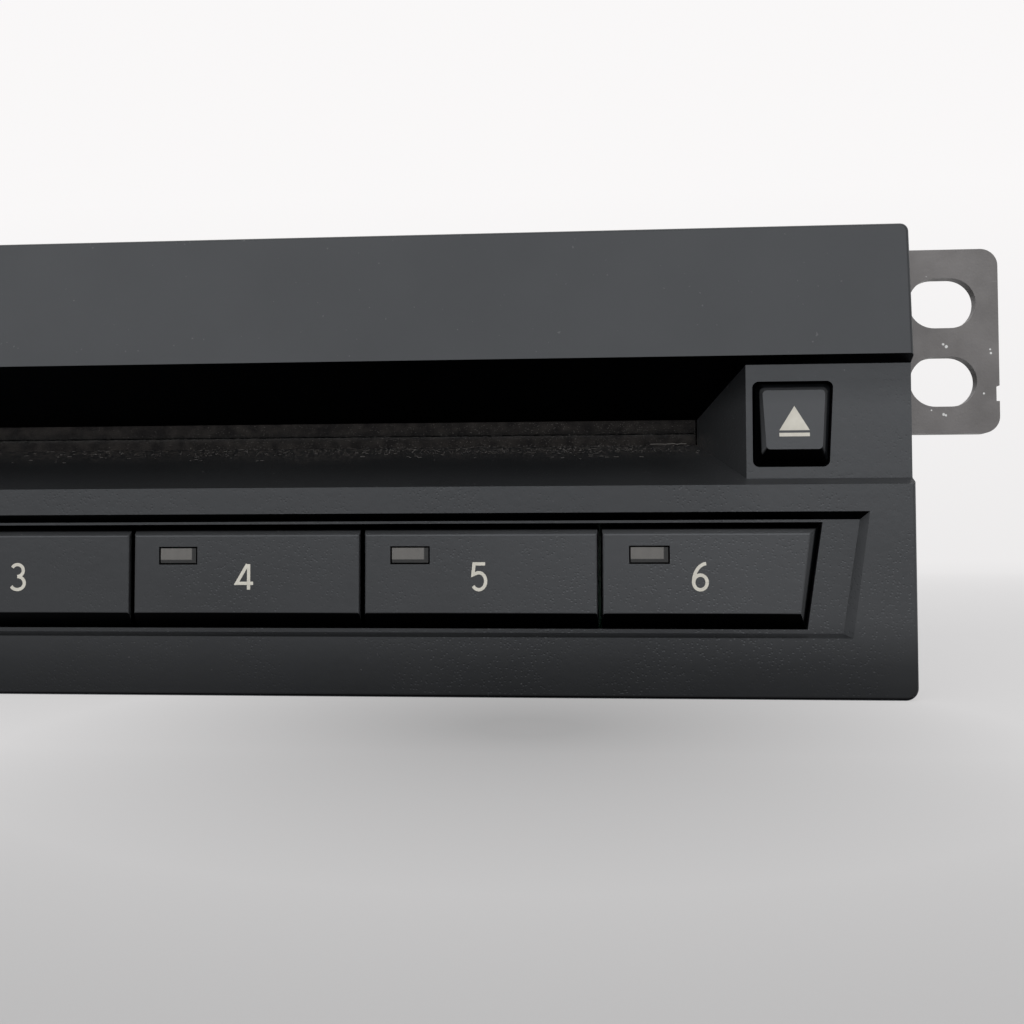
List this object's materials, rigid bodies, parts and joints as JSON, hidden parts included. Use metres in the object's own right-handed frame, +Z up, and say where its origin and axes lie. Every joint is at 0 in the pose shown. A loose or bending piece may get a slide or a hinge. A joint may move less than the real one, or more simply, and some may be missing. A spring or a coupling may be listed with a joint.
{
  "type": "car cd changer",
  "caption": "In-dash disc changer with a slot fascia, numbered keys, eject button, side mounting ears and a swinging playback deck between stacked disc trays.",
  "frame": {"origin": "under the middle of the unit, on the plane it rests on", "axes": "+X to the right of the fascia as the user faces it, -Y out of the fascia, +Z up"},
  "size_m": [0.2188, 0.185, 0.057],
  "materials": {
    "fascia_plastic": "satin black, fine dimpled grain",
    "key_plastic": "satin black, fine dimpled grain",
    "flocking": "flocked black fibre",
    "circuit_board": "green solder mask",
    "switch_plastic": "moulded black",
    "led_body": "clear epoxy",
    "light_guide": "smoked clear",
    "zinc_steel": "zinc plated sheet",
    "coated_steel": "dark dip coat, satin",
    "plated_screw": "zinc plated",
    "chip_epoxy": "epoxy",
    "ribbon_film": "polyester film",
    "damper_rubber": "soft rubber",
    "roller_rubber": "ground rubber",
    "bright_steel": "ground",
    "gear_acetal": "acetal",
    "brass_pinion": "turned",
    "mechanism_plastic": "glass-filled black"
  },
  "bodies": {
    "case": {"fascia": "fascia_plastic", "slot_felt_upper": "flocking", "slot_felt_lower": "flocking", "button_board": "circuit_board", "tact_switches": "switch_plastic", "indicator_leds": "led_body", "light_guides": "light_guide", "bottom_chassis": "zinc_steel", "top_cover": "zinc_steel", "rear_panel": "zinc_steel", "mounting_bracket_left": "coated_steel", "mounting_bracket_right": "coated_steel", "case_screws": "plated_screw", "bracket_screws": "plated_screw", "main_board": "circuit_board", "board_chips": "chip_epoxy", "power_connector": "switch_plastic", "ribbon_cable": "ribbon_film", "mechanism_plate": "zinc_steel", "damper_bushes": "damper_rubber", "roller_bracket": "zinc_steel", "disc_guide": "mechanism_plastic", "load_motor": "bright_steel", "lift_motor": "bright_steel", "lift_belt": "roller_rubber", "deck_pivot_post": "bright_steel"},
    "key_1": {"key_1": "key_plastic"},
    "key_2": {"key_2": "key_plastic"},
    "key_3": {"key_3": "key_plastic"},
    "key_4": {"key_4": "key_plastic"},
    "key_5": {"key_5": "key_plastic"},
    "key_6": {"key_6": "key_plastic"},
    "eject_button": {"eject_button": "key_plastic"},
    "load_button": {"load_button": "key_plastic"},
    "slot_shutter": {"slot_shutter": "mechanism_plastic"},
    "load_roller": {"roller_shaft": "bright_steel", "roller_sleeves": "roller_rubber", "roller_gear": "gear_acetal"},
    "idler": {"idler_gear": "gear_acetal"},
    "motor_pinion": {"motor_pinion": "brass_pinion"},
    "lower_stack": {"tray_1": "mechanism_plastic", "tray_2": "mechanism_plastic", "tray_3": "mechanism_plastic"},
    "upper_stack": {"tray_4": "mechanism_plastic", "tray_5": "mechanism_plastic", "tray_6": "mechanism_plastic"},
    "lift_screw_front_left": {"lift_screw_front_left": "bright_steel"},
    "lift_screw_front_right": {"lift_screw_front_right": "bright_steel"},
    "lift_screw_rear_left": {"lift_screw_rear_left": "bright_steel"},
    "lift_screw_rear_right": {"lift_screw_rear_right": "bright_steel"},
    "lift_pulley": {"lift_pulley": "brass_pinion"},
    "playback_deck": {"swing_arm": "zinc_steel", "clamp_arm": "zinc_steel", "spindle_motor": "bright_steel", "sled_rods": "bright_steel", "sled_motor": "bright_steel"},
    "turntable": {"turntable": "mechanism_plastic"},
    "clamp_puck": {"clamp_puck": "mechanism_plastic"},
    "pickup": {"pickup": "mechanism_plastic"},
    "pickup_screw": {"pickup_screw": "bright_steel"}
  },
  "joints": [
    {"name": "key_1_press", "type": "slide", "parent": "case", "child": "key_1", "axis": [0, 1, 0], "range_m": [0, 0.0008], "stiffness_N_per_m": 600, "springref_m": -0.0006},
    {"name": "key_2_press", "type": "slide", "parent": "case", "child": "key_2", "axis": [0, 1, 0], "range_m": [0, 0.0008], "stiffness_N_per_m": 600, "springref_m": -0.0006},
    {"name": "key_3_press", "type": "slide", "parent": "case", "child": "key_3", "axis": [0, 1, 0], "range_m": [0, 0.0008], "stiffness_N_per_m": 600, "springref_m": -0.0006},
    {"name": "key_4_press", "type": "slide", "parent": "case", "child": "key_4", "axis": [0, 1, 0], "range_m": [0, 0.0008], "stiffness_N_per_m": 600, "springref_m": -0.0006},
    {"name": "key_5_press", "type": "slide", "parent": "case", "child": "key_5", "axis": [0, 1, 0], "range_m": [0, 0.0008], "stiffness_N_per_m": 600, "springref_m": -0.0006},
    {"name": "key_6_press", "type": "slide", "parent": "case", "child": "key_6", "axis": [0, 1, 0], "range_m": [0, 0.0008], "stiffness_N_per_m": 600, "springref_m": -0.0006},
    {"name": "eject_button_press", "type": "slide", "parent": "case", "child": "eject_button", "axis": [0, 1, 0], "range_m": [0, 0.001], "stiffness_N_per_m": 600, "springref_m": -0.0006},
    {"name": "load_button_press", "type": "slide", "parent": "case", "child": "load_button", "axis": [0, 1, 0], "range_m": [0, 0.001], "stiffness_N_per_m": 600, "springref_m": -0.0006},
    {"name": "shutter_swing", "type": "hinge", "parent": "case", "child": "slot_shutter", "pos_m": [0, -0.0779, 0.0382], "axis": [1, 0, 0], "range_deg": [0, 65], "stiffness_Nm_per_rad": 0.002, "springref_deg": -11.46},
    {"name": "roller_spin", "type": "hinge", "parent": "case", "child": "load_roller", "pos_m": [0, -0.0665, 0.0278], "axis": [1, 0, 0], "continuous": true},
    {"name": "idler_spin", "type": "hinge", "parent": "case", "child": "idler", "pos_m": [0.0786, -0.05403, 0.0206], "axis": [1, 0, 0], "continuous": true},
    {"name": "pinion_spin", "type": "hinge", "parent": "case", "child": "motor_pinion", "pos_m": [0.0786, -0.04203, 0.0206], "axis": [1, 0, 0], "continuous": true},
    {"name": "stack_close", "type": "slide", "parent": "case", "child": "lower_stack", "axis": [0, 0, 1], "range_m": [0, 0.011]},
    {"name": "upper_stack_close", "type": "slide", "parent": "case", "child": "upper_stack", "axis": [0, 0, -1], "range_m": [0, 0.011]},
    {"name": "lift_screw_front_left_turn", "type": "hinge", "parent": "case", "child": "lift_screw_front_left", "pos_m": [-0.06, -0.0555, 0.03], "axis": [0, 0, 1], "range_deg": [0, 720]},
    {"name": "lift_screw_front_right_turn", "type": "hinge", "parent": "case", "child": "lift_screw_front_right", "pos_m": [0.06, -0.0555, 0.03], "axis": [0, 0, 1], "range_deg": [0, 720]},
    {"name": "lift_screw_rear_left_turn", "type": "hinge", "parent": "case", "child": "lift_screw_rear_left", "pos_m": [-0.056, 0.0605, 0.03], "axis": [0, 0, 1], "range_deg": [0, 720]},
    {"name": "lift_screw_rear_right_turn", "type": "hinge", "parent": "case", "child": "lift_screw_rear_right", "pos_m": [0.056, 0.0605, 0.03], "axis": [0, 0, 1], "range_deg": [0, 720]},
    {"name": "lift_pulley_turn", "type": "hinge", "parent": "case", "child": "lift_pulley", "pos_m": [-0.03, 0.0735, 0.012], "axis": [0, 0, 1], "range_deg": [0, 1080]},
    {"name": "deck_swing", "type": "hinge", "parent": "case", "child": "playback_deck", "pos_m": [-0.076, 0.0585, 0.03], "axis": [0, 0, -1], "range_deg": [-51, 0]},
    {"name": "turntable_spin", "type": "hinge", "parent": "playback_deck", "child": "turntable", "pos_m": [-0.07247, -0.03643, 0.032], "axis": [0, 0, 1], "continuous": true},
    {"name": "puck_spin", "type": "hinge", "parent": "playback_deck", "child": "clamp_puck", "pos_m": [-0.07247, -0.03643, 0.037], "axis": [0, 0, 1], "continuous": true},
    {"name": "pickup_travel", "type": "slide", "parent": "playback_deck", "child": "pickup", "axis": [-0.0372, 0.9993, 0], "range_m": [0, 0.034]},
    {"name": "pickup_screw_turn", "type": "hinge", "parent": "playback_deck", "child": "pickup_screw", "pos_m": [-0.08214, 0.00824, 0.0279], "axis": [0.0372, -0.9993, 0], "range_deg": [0, 6120]}
  ],
  "couplings": [
    {"joint": "idler_spin", "follows": "roller_spin", "ratio": -0.8},
    {"joint": "pinion_spin", "follows": "roller_spin", "ratio": 1.6},
    {"joint": "upper_stack_close", "follows": "stack_close", "ratio": 1},
    {"joint": "lift_screw_front_left_turn", "follows": "stack_close", "rad_per_m": 1142.4},
    {"joint": "lift_screw_front_right_turn", "follows": "stack_close", "rad_per_m": 1142.4},
    {"joint": "lift_screw_rear_left_turn", "follows": "stack_close", "rad_per_m": 1142.4},
    {"joint": "lift_screw_rear_right_turn", "follows": "stack_close", "rad_per_m": 1142.4},
    {"joint": "lift_pulley_turn", "follows": "stack_close", "rad_per_m": 1713.6},
    {"joint": "puck_spin", "follows": "turntable_spin", "ratio": 1},
    {"joint": "pickup_screw_turn", "follows": "pickup_travel", "rad_per_m": 3141.5}
  ]
}
